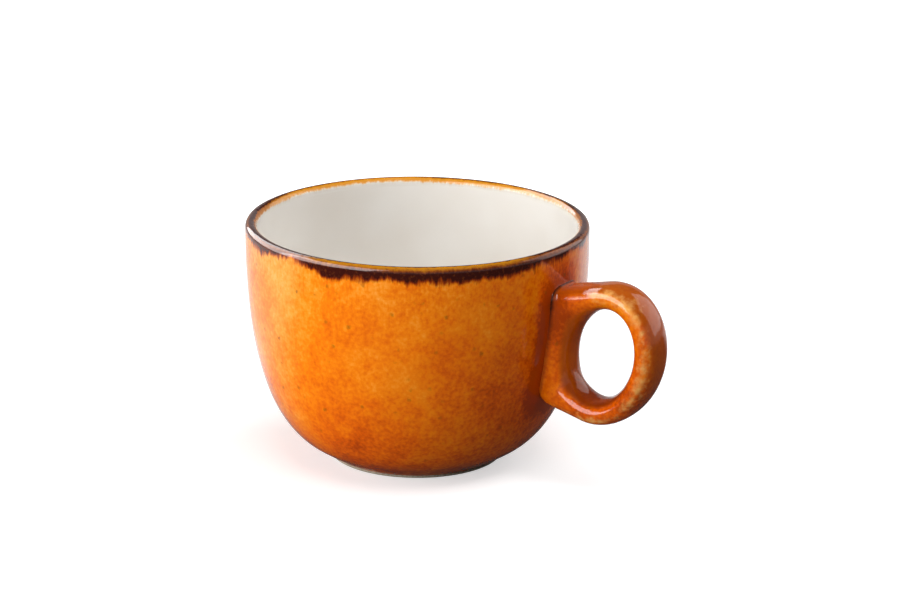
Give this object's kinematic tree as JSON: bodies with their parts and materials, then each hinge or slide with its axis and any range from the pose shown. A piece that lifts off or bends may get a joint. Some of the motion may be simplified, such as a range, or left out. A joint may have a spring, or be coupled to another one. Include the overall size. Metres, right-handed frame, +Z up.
{
  "type": "latte cup",
  "caption": "Round-bellied glazed stoneware latte cup with a ring handle, cream inside and amber outside, with a dark brown band round the lip.",
  "frame": {"origin": "middle of the whole cup's footprint, handle included, on the surface it stands on", "axes": "+Z up along the bowl's axis, +X from the bowl towards the handle, +Y completes a right-handed frame"},
  "size_m": [0.138, 0.105, 0.074],
  "materials": {
    "biscuit_stoneware": "unglazed, fine and dry to the touch",
    "dried_slip": "unglazed, fired clay slip",
    "amber_glaze": "glossy reactive glaze, mottled amber to red-brown",
    "rim_glaze": "glossy dark brown band, feathered lower edge",
    "cream_glaze": "glossy cream liner glaze"
  },
  "bodies": {
    "root": {"cup_body": "biscuit_stoneware", "ring_handle": "biscuit_stoneware", "handle_slip": "dried_slip", "base_glaze": "amber_glaze", "bowl_glaze": "amber_glaze", "handle_glaze": "amber_glaze", "rim_glaze": "rim_glaze", "liner_glaze": "cream_glaze"}
  },
  "joints": []
}
